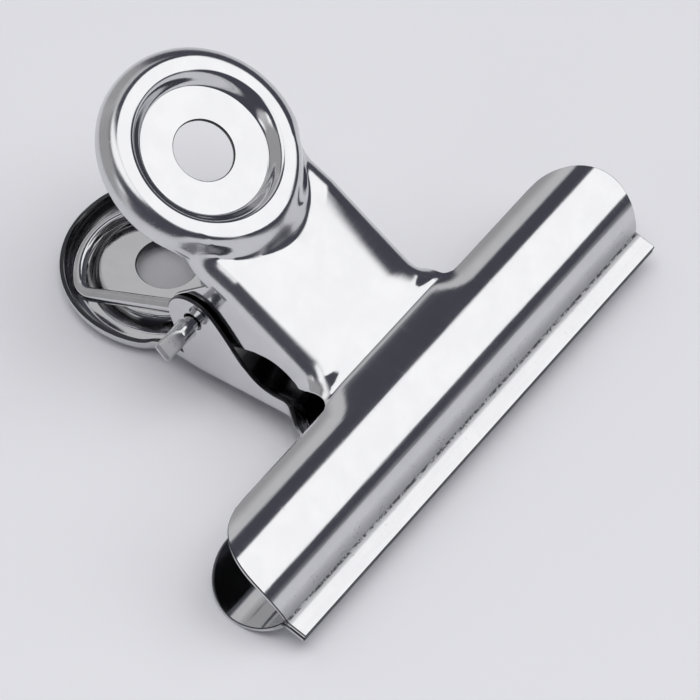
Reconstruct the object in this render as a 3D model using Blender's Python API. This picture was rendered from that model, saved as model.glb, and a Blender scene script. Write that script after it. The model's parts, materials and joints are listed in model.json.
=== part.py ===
"""Round-handled spring clip: two pressed plates on a wire pin, with a torsion spring between them.

The clip is drawn about its pivot (X towards the jaw, Y along the pin, Z up, the closed lips on Z = 0)
and then tipped so that the lower handle's ridge and the lower jaw's belly stand on Z = 0 of the world.
Lengths are in metres and angles in radians.
"""
import math

import bmesh
import bpy
from mathutils import Vector
from mathutils.geometry import delaunay_2d_cdt

MM = 0.001
DEG = math.pi / 180

# Sheet and clearances
SHEET = 0.6 * MM
CLEAR = 0.3 * MM
LIP_GAP = 0.3 * MM

# Jaw, along and across
JAW_LENGTH = 75 * MM
JAW_SWELL = 1.2 * MM
JAW_CORNER = 8.2 * MM
JAW_RADIUS = 9.0 * MM
JAW_RISE = 67 * DEG
JAW_SWEEP = 98.5 * DEG
LIP_REACH = 37.4 * MM
LIP_WIDTH = 3.2 * MM
CREASE_RADIUS = 0.5 * MM

# Neck, its folded sides and its ears
NECK_WIDTH = 22.6 * MM
VALLEY_RADIUS = 1.3 * MM
ROOT_RISE = 0.7 * MM
ROOT_RUN = 3.9 * MM
ROOT_FADE = 6.0 * MM
ROOT_INSET = 2.3 * MM
ROOT_EDGE = 6.0 * MM
NECK_DIP = 1.9 * MM
DIP_REACH = 11.0 * MM
DIP_END = 5.0 * MM
DIP_RAMP = 6.0 * MM
DIP_CORNER = 1.3 * MM
FOLD_RADIUS = 1.8 * MM
JAW_FILLET = 4.8 * MM
DISC_FILLET = 4.1 * MM
FLANGE_DEPTH = 3.85 * MM
FLANGE_RUN = 0.2 * MM
FLANGE_RISE = 2.8 * MM
EAR_RADIUS = 3.9 * MM
EAR_FRONT = -60 * DEG
EAR_EASE = 0.42
EAR_ROOT = 1.9 * MM
EAR_ROOT_DEPTH = 2.8 * MM

# Round handle
DISC_RADIUS = 13.9 * MM
DISC_SLOPE = 14.7 * DEG
DISC_BACK = 14.1 * MM
DISC_MARGIN = 0.6 * MM
DISC_BEND = 6.0 * MM
SKIRT_DEPTH = 2.3 * MM
HOLE_RADIUS = 4.07 * MM
RIDGE_MARGIN = 0.3 * MM
RIDGE_LAND = 1.25 * MM
LAND_EDGE = 0.25 * MM
RIDGE_SLOPE = 1.9 * MM
RIDGE_FALL = 3.0 * MM
RIDGE_HEIGHT = 0.55 * MM
FLOOR_DEPTH = 1.15 * MM

# Pin
PIN_RADIUS = 1.1 * MM
PIN_SHOULDER = 1.55 * MM
PIN_STANDOFF = 1.1 * MM
PIN_SHANK = 1.9 * MM
PADDLE_LENGTH = 3.4 * MM
PADDLE_WIDTH = 2.9 * MM
PADDLE_THICKNESS = 1.2 * MM
PIN_TWIST = 28 * DEG
FAR_END_SHARE = 0.5
PADDLE_SQUARENESS = 5
BORE_OVERRUN = 4 * SHEET
PADDLE_FLARE = 0.3
PADDLE_TAPER = 0.75
TAPER_THICKNESS = 0.8
TIP_WIDTH = 0.86
TIP_THICKNESS = 0.6

# Spring
WIRE = 1.9 * MM
COIL_BORE_GAP = 0.45 * MM
COIL_TURN_GAP = 0.5 * MM
COIL_TURNS = 6
SEAT_GAP = 1.1 * MM
HOOK_RADIUS = 9.9 * MM
HOOK_SHIFT = 2.4 * MM
HOOK_LIFT = 0.8 * MM
HOOK_START = -55 * DEG
HOOK_END = 58 * DEG
HOOK_BEND = 1.5 * MM
LIFT_SHARE = 0.65

# Fineness of the curved stretches
ARC_ROWS = 6
CORNER_ROWS = 7
CREASE_ROWS = 3
VALLEY_ROWS = 4
FOLD_ROWS = 3
WALL_ROWS = 3
JAW_FILLET_ROWS = 3
FLANGE_ROWS = 2
EAR_EDGE_ROWS = 6
EAR_ROWS = 8
EAR_BACK_ROWS = 3
STRIP_ROWS = 2
DISC_FILLET_ROWS = 3
RIM_ROWS = 13
RING_SIDES = 40
JAW_COLUMNS = 6
COIL_POINTS = 9
LEG_POINTS = 5
BEND_POINTS = 4
HOOK_POINTS = 12
HOLE_SIDES = 24
PIN_SIDES = 16
FOOT_SHARE = 0.85
SMOOTH_UNDER = 40 * DEG

STAND = "clip_stand"

# Radii of the handle's pressed relief, from the rim inwards
RIM_INNER = DISC_RADIUS - SHEET / 2 - FOLD_RADIUS
RIDGE_OUTER = RIM_INNER - RIDGE_MARGIN
RIDGE_INNER = RIDGE_OUTER - RIDGE_LAND
FLOOR_RADIUS = RIDGE_INNER - RIDGE_SLOPE
RIDGE_FOOT = RIDGE_OUTER + RIDGE_FALL


def heading(angle):
    """Unit vector in the X-Z side view."""
    return Vector((math.cos(angle), math.sin(angle)))


def up_side(angle):
    """The side of a path that faces up when the path runs towards the handle."""
    return heading(angle - math.pi / 2)


class SideView:
    """The plate's mid-surface seen from the side: straights and bends from the lip to the handle's end."""

    def __init__(self):
        self.pieces = []
        self.length = 0.0
        self.point = Vector((LIP_REACH, (LIP_GAP + SHEET) / 2))
        self.angle = math.pi

    def add(self, length, turn=0.0):
        self.pieces.append((self.length, length, turn, self.point.copy(), self.angle))
        self.point, self.angle = self.step(self.pieces[-1], length)
        self.length += length
        return self.length

    @staticmethod
    def step(piece, run):
        _, length, turn, point, angle = piece
        bent = turn * run / length
        if abs(turn) < 1e-9:
            return point + heading(angle) * run, angle
        radius = length / turn
        centre = point - up_side(angle) * radius
        return centre + up_side(angle + bent) * radius, angle + bent

    def at(self, u):
        piece = self.pieces[0]
        for other in self.pieces:
            if other[0] <= u:
                piece = other
        return self.step(piece, u - piece[0])


def plate_side_view():
    """Lay out lip, crease, jaw, valley, neck and handle, and name the lengths where they meet."""
    path = SideView()
    marks = {"crease": path.add(LIP_WIDTH - CREASE_RADIUS * math.tan(JAW_RISE / 2))}
    marks["jaw"] = path.add(CREASE_RADIUS * JAW_RISE, -JAW_RISE)
    jaw_centre = path.point - up_side(path.angle) * JAW_RADIUS
    marks["back"] = path.add(JAW_RADIUS * JAW_SWEEP, JAW_SWEEP)

    handle_angle = math.pi - DISC_SLOPE
    stand = jaw_centre.dot(up_side(handle_angle)) + JAW_RADIUS
    handle = up_side(handle_angle) * (stand - RIDGE_HEIGHT) + heading(handle_angle) * DISC_BACK
    knee = handle - heading(handle_angle) * (DISC_RADIUS + DISC_MARGIN)

    valley_centre = path.point + up_side(path.angle) * VALLEY_RADIUS
    sight = knee - valley_centre
    neck_angle = math.atan2(sight.y, sight.x) - math.asin(VALLEY_RADIUS / sight.length)
    turn = neck_angle - path.angle
    marks["neck"] = path.add(VALLEY_RADIUS * -turn, turn)
    bend = handle_angle - neck_angle
    trim = DISC_BEND * math.tan(bend / 2)
    marks["knee"] = path.add((knee - path.point).length - trim)
    marks["handle"] = path.add(DISC_BEND * bend, bend)
    marks["disc"] = path.add(DISC_RADIUS + DISC_MARGIN - trim)
    path.add(DISC_RADIUS)
    return path, marks, stand + SHEET / 2


PATH, MARK, STAND_HEIGHT = plate_side_view()


def smooth(t):
    t = min(1.0, max(0.0, t))
    return t * t * (3 - 2 * t)


def relief(u, v):
    """Height of the handle's floor and ridge above the plain sheet, and the dip of the neck below it."""
    r = math.hypot(u - MARK["disc"], v)
    if r < RIDGE_INNER:
        return RIDGE_HEIGHT - (RIDGE_HEIGHT + FLOOR_DEPTH) * smooth((RIDGE_INNER - r) / RIDGE_SLOPE)
    return RIDGE_HEIGHT * smooth((RIDGE_FOOT - r) / RIDGE_FALL) + root_rise(u, v) - neck_dip(u, v, r)


def root_rise(u, v):
    """The jaw's back runs out straight into the neck, where its ends round down."""
    past = u - MARK["back"]
    share = max(0.0, 1 + past / ROOT_RUN) ** 2 if past < 0 else 1 - smooth(past / ROOT_FADE)
    return ROOT_RISE * share * (1 - smooth((abs(v) - NECK_WIDTH / 2 + ROOT_INSET) / ROOT_EDGE))


def neck_dip(u, v, r):
    """The neck sinks steadily from jaw to handle and climbs to it by a ramp, gentle in its middle."""
    ahead = MARK["disc"] - u
    sunk = (u - MARK["neck"]) / (MARK["disc"] - DIP_REACH - MARK["neck"])
    sunk = max(0.0, sunk) * smooth((ahead - DIP_END) / (DIP_REACH - DIP_END))
    side = min(1.0, abs(v) / (NECK_WIDTH / 2))
    ramp = DIP_RAMP + (DIP_CORNER - DIP_RAMP) * side
    return NECK_DIP * min(1.0, sunk) * smooth((r - RIM_INNER) / ramp)


def formed(u, v, drop=0.0):
    """Where a point of the flat blank ends up: u along the side view, v across, drop below the sheet."""
    point, angle = PATH.at(u)
    point = point + up_side(angle) * (relief(u, v) - drop)
    return Vector((point.x, v, point.y))


def jaw_half_length(u):
    """Half the jaw's length at u: straight at the lip, swelling a little, then a round corner."""
    corner = MARK["back"] - JAW_CORNER
    swelling = min(1.0, max(0.0, (u - MARK["jaw"]) / (corner - MARK["jaw"])))
    swell = JAW_SWELL * math.sin(math.pi / 2 * swelling)
    past = min(JAW_CORNER, max(0.0, u - corner))
    return JAW_LENGTH / 2 + swell - JAW_CORNER + math.sqrt(JAW_CORNER ** 2 - past ** 2)


def spread(low, high, count):
    """Values from low to high in count steps, both ends included."""
    return [low + (high - low) * i / count for i in range(count)] + [high]


def jaw_rows():
    """Lengths along the side view where the lip and jaw have a row of points."""
    corner = MARK["back"] - JAW_CORNER
    rows = [0.0] + spread(MARK["crease"], MARK["jaw"], CREASE_ROWS)
    rows += spread(MARK["jaw"], corner, ARC_ROWS)[1:]
    return rows + [corner + JAW_CORNER * math.sin(a) for a in spread(0.0, math.pi / 2, CORNER_ROWS)[1:]]


def ear_curve(start, angle, root):
    """Lower edge of one side in the X-Z view: an S from flange to ear, the ear, then up to its root."""
    tip = heading(EAR_FRONT) * EAR_RADIUS
    reach = (tip - start).length * EAR_EASE
    near = start + heading(angle) * reach
    far = tip + heading(EAR_FRONT + math.pi / 2) * reach
    curve = []
    for t in spread(0.0, 1.0, EAR_EDGE_ROWS)[:-1]:
        s = 1 - t
        curve.append(start * s ** 3 + near * (3 * s * s * t) + far * (3 * s * t * t) + tip * t ** 3)
    leave = math.atan2(root.y, root.x) + math.acos(EAR_RADIUS / root.length) - 2 * math.pi
    curve += [heading(a) * EAR_RADIUS for a in spread(EAR_FRONT, leave, EAR_ROWS)]
    last = curve[-1]
    return curve + [last.lerp(root, t) for t in spread(0.0, 1.0, EAR_BACK_ROWS)[1:-1]]


def side_stations(half_width):
    """Stations along one edge of neck and handle, from jaw to handle's end.

    Each is the inner line of the fold (u, v), the outward direction there, and the lower edge: a depth
    below the sheet, or a point of the side view where the edge belongs to an ear.
    """
    inner = half_width - FOLD_RADIUS
    stations = []
    fillet_end = MARK["back"] + JAW_FILLET
    flange_end = fillet_end + FLANGE_RUN
    rows = spread(MARK["back"], MARK["neck"], VALLEY_ROWS)
    rows += spread(MARK["neck"], fillet_end, JAW_FILLET_ROWS)[1:]
    rows += spread(fillet_end, flange_end, FLANGE_ROWS)[1:-1]
    for u in rows:
        rest = min(JAW_FILLET, max(0.0, fillet_end - u))
        across = math.sqrt(JAW_FILLET ** 2 - rest ** 2)
        away = Vector((rest, across)) / JAW_FILLET
        depth = FLANGE_DEPTH * smooth((u - MARK["back"]) / FLANGE_RISE)
        stations.append((u, inner + JAW_FILLET - across, away, depth))

    disc_reach = math.sqrt((RIM_INNER + DISC_FILLET) ** 2 - (inner + DISC_FILLET) ** 2)
    neck_end = MARK["disc"] - disc_reach
    swing = math.atan2(disc_reach, inner + DISC_FILLET)
    root_end = MARK["handle"] + EAR_ROOT
    rim_start = neck_end + DISC_FILLET * math.sin(swing)

    def side_depth(u):
        """Depth of the side behind the ear, which runs out into the handle's skirt."""
        run = (u - root_end) / (rim_start - root_end)
        return SKIRT_DEPTH + (EAR_ROOT_DEPTH - SKIRT_DEPTH) * (1 - smooth(run * run))

    start = formed(flange_end, inner, FLANGE_DEPTH).xz
    root = formed(root_end, inner, EAR_ROOT_DEPTH).xz
    curve = ear_curve(start, PATH.at(flange_end)[1], root)
    for u, point in zip(spread(flange_end, MARK["knee"], len(curve) - 1), curve):
        stations.append((u, inner, Vector((0, 1)), point))
    for u in spread(root_end, neck_end, STRIP_ROWS):
        stations.append((u, inner, Vector((0, 1)), side_depth(u)))
    for a in spread(0.0, swing, DISC_FILLET_ROWS)[1:]:
        away = Vector((-math.sin(a), math.cos(a)))
        u = neck_end - DISC_FILLET * away.x
        stations.append((u, inner + DISC_FILLET * (1 - away.y), away, side_depth(u)))
    for a in spread(math.pi / 2 + swing, 0.0, RIM_ROWS)[1:]:
        away = Vector((math.cos(a), math.sin(a)))
        stations.append((MARK["disc"] + RIM_INNER * away.x, RIM_INNER * away.y, away, SKIRT_DEPTH))
    return stations


class Blank:
    """Points and lines of the flat blank, before it is meshed."""

    def __init__(self):
        self.points = []
        self.lines = []

    def point(self, u, v):
        self.points.append(Vector((u, v)))
        return len(self.points) - 1

    def chain(self, points, closed=False):
        made = [self.point(u, v) for u, v in points]
        self.join(made + made[:1] if closed else made)
        return made

    def join(self, numbers):
        self.lines += list(zip(numbers, numbers[1:]))


def ring(radius, count):
    """A circle round the handle's centre in the blank."""
    turns = spread(0.0, 2 * math.pi, count)[:-1]
    return [(MARK["disc"] + radius * math.cos(a), radius * math.sin(a)) for a in turns]


def sheet_blank(stations):
    """The flat sheet inside the folds: jaw rows, neck rows and the handle's rings."""
    blank = Blank()
    rows = jaw_rows()
    sides = {1: [], -1: []}
    for u in rows:
        half = jaw_half_length(u)
        line = blank.chain([(u, half * t) for t in spread(-1.0, 1.0, JAW_COLUMNS)])
        sides[-1].append(line[0])
        sides[1].append(line[-1])
        back_line = line
    edges = {}
    for sign in (1, -1):
        edges[sign] = [blank.point(u, sign * v) for u, v, away, low in stations]
        blank.join(sides[sign])
        blank.join(edges[sign])
    back_half = stations[0][1]
    inside = [n for n in back_line if abs(blank.points[n].y) < back_half]
    outside = {1: [], -1: []}
    for n in back_line:
        if abs(blank.points[n].y) > back_half:
            outside[1 if blank.points[n].y > 0 else -1].append(n)
    blank.lines = [e for e in blank.lines if not (e[0] in back_line and e[1] in back_line)]
    blank.join(outside[-1] + [edges[-1][0]] + inside + [edges[1][0]] + outside[1])
    for right, left in zip(edges[1][1:], edges[-1][1:]):
        if blank.points[right].x < MARK["disc"] - RIDGE_FOOT:
            middle = blank.point(blank.points[right].x, 0.0)
            blank.join([right, middle, left])
    slope = (FLOOR_RADIUS, (FLOOR_RADIUS + RIDGE_INNER) / 2, RIDGE_INNER)
    land = (RIDGE_INNER + LAND_EDGE, RIDGE_OUTER - LAND_EDGE, RIDGE_OUTER)
    for radius in (HOLE_RADIUS, *slope, *land):
        blank.chain(ring(radius, RING_SIDES), closed=True)
    foot = [p for p in ring(RIDGE_FOOT, RING_SIDES) if p[0] < MARK["disc"]]
    width = [s for s in stations if isinstance(s[3], Vector)][0][1]
    blank.chain([p for p in foot if abs(p[1]) < FOOT_SHARE * width])
    return blank, edges


def plate(name, half_width, side, material):
    """One pressed plate: side is 1 for the upper and -1 for the lower, its mirror image."""
    stations = side_stations(half_width)
    blank, edges = sheet_blank(stations)
    points, _, faces, origin, _, _ = delaunay_2d_cdt(blank.points, blank.lines, [], 1, 1e-9)
    mesh = bmesh.new()
    verts = []
    number = {}
    for i, p in enumerate(points):
        spot = formed(p.x, p.y)
        verts.append(mesh.verts.new((spot.x, spot.y, side * spot.z)))
        for first in origin[i]:
            number[first] = i
    for face in faces:
        middle = sum((points[i] for i in face), Vector((0, 0))) / len(face)
        if math.hypot(middle.x - MARK["disc"], middle.y) > HOLE_RADIUS * math.cos(math.pi / RING_SIDES):
            mesh.faces.new([verts[i] for i in face])
    for sign in (1, -1):
        before = None
        for (u, v, away, low), first in zip(stations, edges[sign]):
            column = [verts[number[first]]]
            column += wall_column(mesh, u, v, away, low, sign, side)
            if before:
                for a, b, c, d in zip(before, before[1:], column[1:], column):
                    corners = list(dict.fromkeys((a, b, c, d)))
                    if len(corners) > 2:
                        mesh.faces.new(corners)
            before = column
    bmesh.ops.remove_doubles(mesh, verts=mesh.verts, dist=1e-7)
    bmesh.ops.recalc_face_normals(mesh, faces=mesh.faces)
    made = finish(name, mesh, material)
    wall = made.modifiers.new("sheet thickness", "SOLIDIFY")
    wall.thickness = SHEET
    wall.offset = 0.0
    drill(made, half_width)
    return made


def wall_column(mesh, u, v, away, low, sign, side):
    """Points down one station of a folded side, from just below the sheet to the lower edge."""
    bent = math.pi / 2
    if not isinstance(low, Vector) and low < FOLD_RADIUS:
        bent = math.acos(1 - low / FOLD_RADIUS)
    column = []
    for a in spread(0.0, bent, FOLD_ROWS)[1:]:
        out = away * FOLD_RADIUS * math.sin(a)
        spot = formed(u + out.x, v + out.y, FOLD_RADIUS * (1 - math.cos(a)))
        column.append(Vector((spot.x, sign * spot.y, side * spot.z)))
    if bent == math.pi / 2:
        top = column[-1]
        if isinstance(low, Vector):
            foot = Vector((low.x, top.y, side * low.y))
        else:
            spot = formed(u + away.x * FOLD_RADIUS, v + away.y * FOLD_RADIUS, low)
            foot = Vector((spot.x, sign * spot.y, side * spot.z))
        column += [top.lerp(foot, t) for t in spread(0.0, 1.0, WALL_ROWS)[1:]]
    else:
        column += [column[-1]] * WALL_ROWS
    made = []
    for spot in column:
        same = made and (made[-1].co - spot).length < 1e-9
        made.append(made[-1] if same else mesh.verts.new(spot))
    return made


def metal(name, colour, roughness):
    """Plated steel of one colour."""
    made = bpy.data.materials.new(name)
    made.use_nodes = True
    shader = made.node_tree.nodes["Principled BSDF"]
    shader.inputs["Base Color"].default_value = (*colour, 1)
    shader.inputs["Metallic"].default_value = 1.0
    shader.inputs["Roughness"].default_value = roughness
    return made


def finish(name, mesh, material):
    """Turn a mesh into a named object on the clip's stand, shaded smooth over its bends."""
    data = bpy.data.meshes.new(name)
    mesh.to_mesh(data)
    mesh.free()
    data.shade_smooth()
    data.set_sharp_from_angle(angle=SMOOTH_UNDER)
    data.materials.append(material)
    return place(bpy.data.objects.new(name, data))


def place(made):
    bpy.context.collection.objects.link(made)
    made.parent = bpy.data.objects[STAND]
    return made


def drill(made, half_width):
    """Cut the pin's hole through both ears."""
    mesh = bmesh.new()
    radius = PIN_RADIUS + CLEAR
    bmesh.ops.create_cone(mesh, cap_ends=True, segments=HOLE_SIDES, radius1=radius, radius2=radius,
                          depth=2 * half_width + BORE_OVERRUN)
    for vert in mesh.verts:
        vert.co = Vector((vert.co.x, -vert.co.z, vert.co.y))
    data = bpy.data.meshes.new("pin bore")
    mesh.to_mesh(data)
    mesh.free()
    cutter = place(bpy.data.objects.new("pin_bore", data))
    cutter.hide_render = True
    cutter.display_type = "WIRE"
    hole = made.modifiers.new("pin hole", "BOOLEAN")
    hole.operation = "DIFFERENCE"
    hole.solver = "EXACT"
    hole.object = cutter


def pin_end(ear_face, share):
    """Sections of one end of the pin, from its middle out: place, half width, half thickness, squareness."""
    shoulder = ear_face + share * PIN_STANDOFF
    shank = shoulder + share * PIN_SHANK
    paddle = share * PADDLE_LENGTH
    wide = PADDLE_WIDTH / 2
    thick = PADDLE_THICKNESS / 2
    return [(0.0, PIN_RADIUS, PIN_RADIUS, 2), (ear_face, PIN_RADIUS, PIN_RADIUS, 2),
            (shoulder, PIN_RADIUS, PIN_RADIUS, 2), (shoulder + share * CLEAR, PIN_SHOULDER, PIN_SHOULDER, 2),
            (shank, PIN_RADIUS, PIN_RADIUS, 2),
            (shank + PADDLE_FLARE * paddle, wide, thick, PADDLE_SQUARENESS),
            (shank + PADDLE_TAPER * paddle, wide, TAPER_THICKNESS * thick, PADDLE_SQUARENESS),
            (shank + paddle, TIP_WIDTH * wide, TIP_THICKNESS * thick, PADDLE_SQUARENESS)]


def squared(share, squareness):
    """Cosine or sine of a rounded square's corner angle: 2 is a circle, more is squarer."""
    return math.copysign(abs(share) ** (2 / squareness), share)


def pin(ear_face, material):
    """Wire pin: a round shank, a shoulder outside each ear and ends pinched flat, the far one shorter."""
    near = pin_end(ear_face, 1.0)
    far = pin_end(ear_face, FAR_END_SHARE)
    sections = [(-y, *size) for y, *size in reversed(near)] + far[1:]
    mesh = bmesh.new()
    before = None
    turns = spread(0.0, 2 * math.pi, PIN_SIDES)[:-1]
    for y, w, t, power in sections:
        loop = []
        for a in turns:
            spot = (w * squared(math.cos(a), power), y, t * squared(math.sin(a), power))
            loop.append(mesh.verts.new(spot))
        if before:
            for i in range(PIN_SIDES):
                mesh.faces.new((before[i - 1], before[i], loop[i], loop[i - 1]))
        else:
            mesh.faces.new(loop)
        before = loop
    mesh.faces.new(before)
    bmesh.ops.recalc_face_normals(mesh, faces=mesh.faces)
    made = finish("pivot_pin", mesh, material)
    made.rotation_euler.y = PIN_TWIST
    return made


def spring_arm(coil_radius, coil_half):
    """The upper arm from coil to hook: a straight leg, a bend, and a hook round the inside of the rim."""
    centre, angle = PATH.at(MARK["disc"])
    seat_drop = SHEET / 2 - RIDGE_HEIGHT + SEAT_GAP + WIRE / 2

    def seat(a):
        lift = HOOK_LIFT * smooth((a - HOOK_START) / (HOOK_END - HOOK_START) / LIFT_SHARE)
        point = centre - up_side(angle) * (seat_drop + lift) + heading(angle) * (HOOK_RADIUS * math.cos(a))
        return Vector((point.x, HOOK_SHIFT - HOOK_RADIUS * math.sin(a), point.y))

    corner = seat(HOOK_START)
    reach = math.hypot(corner.x, corner.z)
    leave = math.atan2(corner.z, corner.x) - math.acos(coil_radius / reach)
    start = Vector((coil_radius * math.cos(leave), coil_half(leave), coil_radius * math.sin(leave)))
    leg = corner - start
    knee = corner - leg.normalized() * HOOK_BEND
    first = HOOK_START + HOOK_BEND / HOOK_RADIUS
    points = [start.lerp(knee, t) for t in spread(0.0, 1.0, LEG_POINTS)[1:]]
    for t in spread(0.0, 1.0, BEND_POINTS)[1:]:
        points.append(knee * (1 - t) ** 2 + corner * (2 * t * (1 - t)) + seat(first) * t ** 2)
    points += [seat(a) for a in spread(first, HOOK_END, HOOK_POINTS)[1:]]
    points.append(points[-1] + (points[-1] - points[-2]).normalized() * WIRE)
    return leave, points


def spring_points():
    """The whole wire: lower arm, coil round the pin, upper arm. It looks the same turned over about X."""
    coil_radius = PIN_RADIUS + COIL_BORE_GAP + WIRE / 2
    pitch = WIRE + COIL_TURN_GAP

    def coil_half(leave):
        return pitch * (COIL_TURNS + leave / math.pi) / 2

    leave, arm = spring_arm(coil_radius, coil_half)
    half = coil_half(leave)
    swing = 2 * math.pi * COIL_TURNS + 2 * leave
    steps = round(swing / (2 * math.pi) * COIL_POINTS)
    coil = []
    for t in spread(0.0, 1.0, steps):
        a = swing * t - leave
        coil.append(Vector((coil_radius * math.cos(a), half * (2 * t - 1), coil_radius * math.sin(a))))
    lower = [Vector((p.x, -p.y, -p.z)) for p in reversed(arm)]
    return lower + coil + arm


def least_gap(points):
    """Smallest clear space between stretches of the wire that are not neighbours along it."""
    along = [0.0]
    for a, b in zip(points, points[1:]):
        along.append(along[-1] + (b - a).length)
    least = math.inf
    for i, a in enumerate(points):
        for j in range(i):
            if along[i] - along[j] > 2 * math.pi * PIN_RADIUS:
                least = min(least, (a - points[j]).length - WIRE)
    return least


def spring(material):
    """One unbroken wire as a bevelled curve with closed ends."""
    points = spring_points()
    print("least gap of the spring wire to itself: %.2f mm" % (least_gap(points) / MM))
    curve = bpy.data.curves.new("torsion_spring", "CURVE")
    curve.dimensions = "3D"
    curve.bevel_depth = WIRE / 2
    curve.bevel_resolution = 1
    curve.use_fill_caps = True
    line = curve.splines.new("POLY")
    line.points.add(len(points) - 1)
    for spot, p in zip(line.points, points):
        spot.co = (*p, 1)
    line.use_smooth = True
    curve.materials.append(material)
    return place(bpy.data.objects.new("torsion_spring", curve))


def main():
    for old in list(bpy.data.objects):
        bpy.data.objects.remove(old)
    stand = bpy.data.objects.new(STAND, None)
    bpy.context.collection.objects.link(stand)
    stand.rotation_euler.y = DISC_SLOPE
    front = LIP_REACH * math.cos(DISC_SLOPE) + (LIP_GAP / 2 + SHEET) * math.sin(DISC_SLOPE)
    stand.location = ((DISC_BACK + DISC_RADIUS - front) / 2, 0, STAND_HEIGHT)

    upper_half = (NECK_WIDTH - SHEET) / 2
    lower_half = upper_half + SHEET + CLEAR
    plate("upper_plate", upper_half, 1, metal("upper plating", (0.74, 0.74, 0.76), 0.14))
    plate("lower_plate", lower_half, -1, metal("lower plating", (0.74, 0.74, 0.76), 0.14))
    pin(lower_half + SHEET / 2, metal("pin steel", (0.66, 0.66, 0.68), 0.22))
    spring(metal("spring wire", (0.70, 0.70, 0.72), 0.20))


main()
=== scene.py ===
"""Looks of a round-handled spring clip: two bright plated pressings, a wire pin and a torsion spring.

The clip is drawn about its pivot, X towards the jaw, Y along the pin and Z up from the closed lips, and
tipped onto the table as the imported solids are. Lengths are in metres and angles in radians.
"""
import json
import math

import bpy
from mathutils import Matrix, Vector


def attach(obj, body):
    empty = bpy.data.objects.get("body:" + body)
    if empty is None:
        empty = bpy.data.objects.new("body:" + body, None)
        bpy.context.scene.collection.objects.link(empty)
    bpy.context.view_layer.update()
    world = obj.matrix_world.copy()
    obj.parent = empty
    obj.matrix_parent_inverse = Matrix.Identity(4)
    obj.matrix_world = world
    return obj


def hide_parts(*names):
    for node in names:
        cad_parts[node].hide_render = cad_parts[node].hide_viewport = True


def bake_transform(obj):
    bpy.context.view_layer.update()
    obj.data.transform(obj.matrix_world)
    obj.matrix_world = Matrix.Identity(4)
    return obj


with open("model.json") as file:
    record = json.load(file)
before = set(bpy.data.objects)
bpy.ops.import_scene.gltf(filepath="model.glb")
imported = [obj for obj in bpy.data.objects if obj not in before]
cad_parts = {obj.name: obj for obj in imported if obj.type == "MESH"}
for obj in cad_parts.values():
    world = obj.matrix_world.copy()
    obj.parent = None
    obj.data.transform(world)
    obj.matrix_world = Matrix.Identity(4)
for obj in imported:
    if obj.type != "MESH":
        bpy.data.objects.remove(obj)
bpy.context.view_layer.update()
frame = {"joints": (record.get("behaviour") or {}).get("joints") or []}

MM = 0.001
DEG = math.pi / 180

# Sheet, lips and jaw
SHEET = 0.6 * MM
SIDE_PLAY = 0.3 * MM
LIP_GAP = 0.3 * MM
JAW_LENGTH = 75 * MM
JAW_SWELL = 1.2 * MM
JAW_CORNER = 8.2 * MM
JAW_RADIUS = 9.0 * MM
JAW_RISE = 67 * DEG
JAW_SWEEP = 98.5 * DEG
LIP_REACH = 37.4 * MM
LIP_WIDTH = 3.2 * MM
CREASE_RADIUS = 0.5 * MM
CREASE_WORK = 2.2 * MM
CREASE_FLAT = 0.6
CREASE_SCORE = 1.3
LIP_WORK = 1.0 * MM
FOLD_WORK = 0.3

# Neck, folded sides and ears
NECK_WIDTH = 22.6 * MM
VALLEY_RADIUS = 1.3 * MM
ROOT_RISE = 0.7 * MM
ROOT_RUN = 3.9 * MM
ROOT_FADE = 6.0 * MM
ROOT_INSET = 2.3 * MM
ROOT_EDGE = 6.0 * MM
CROWN_DROP = 0.45 * MM
CROWN_START = 5.0 * MM
CROWN_RUN = 2.0 * MM
CROWN_FADE = 30.0 * MM
NECK_DIP = 1.9 * MM
DIP_REACH = 11.0 * MM
DIP_END = 5.0 * MM
DIP_RAMP = 6.0 * MM
DIP_CORNER = 1.3 * MM
FOLD_RADIUS = 1.92 * MM
JAW_FILLET = 4.8 * MM
DISC_FILLET = 4.1 * MM
FLANGE_DEPTH = 3.85 * MM
FLANGE_RUN = 0.2 * MM
FLANGE_RISE = 2.8 * MM
EAR_RADIUS = 3.9 * MM
EAR_FRONT = -60 * DEG
EAR_EASE = 0.42
EAR_ROOT = 1.9 * MM
EAR_ROOT_DEPTH = 2.8 * MM

# Round handle and its pressed relief
DISC_RADIUS = 13.9 * MM
DISC_SLOPE = 14.7 * DEG
DISC_BACK = 14.1 * MM
DISC_MARGIN = 0.6 * MM
DISC_BEND = 6.0 * MM
SKIRT_DEPTH = 2.3 * MM
HOLE_RADIUS = 4.07 * MM
RIDGE_MARGIN = 0.3 * MM
RIDGE_LAND = 1.0 * MM
RIDGE_SLOPE = 1.9 * MM
RIDGE_FALL = 3.0 * MM
RIDGE_HEIGHT = 0.55 * MM
FLOOR_DEPTH = 1.15 * MM
RIM_INNER = DISC_RADIUS - SHEET / 2 - FOLD_RADIUS
RIDGE_OUTER = RIM_INNER - RIDGE_MARGIN
RIDGE_INNER = RIDGE_OUTER - RIDGE_LAND
FLOOR_RADIUS = RIDGE_INNER - RIDGE_SLOPE
RIDGE_FOOT = RIDGE_OUTER + RIDGE_FALL

# Pin
PIN_RADIUS = 1.1 * MM
PIN_SHOULDER = 1.45 * MM
PIN_STANDOFF = 1.1 * MM
PIN_SHANK = 1.9 * MM
PADDLE_LENGTH = 3.4 * MM
PADDLE_WIDTH = 2.7 * MM
PADDLE_THICKNESS = 1.2 * MM
PIN_TWIST = 28 * DEG
FAR_END_SHARE = 0.5
PIN_STEP = 0.06 * MM
COLLAR_FALL = 0.92
ROUND = 2
PADDLE_SQUARENESS = 7

# Where the pin is pinched: share of the paddle's length, then of the shoulder across and through
PINCH = (0.04, 0.90, 0.80)
PINCH_SQUARENESS = 2.2
PINCH_WORK = 0.4

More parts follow.
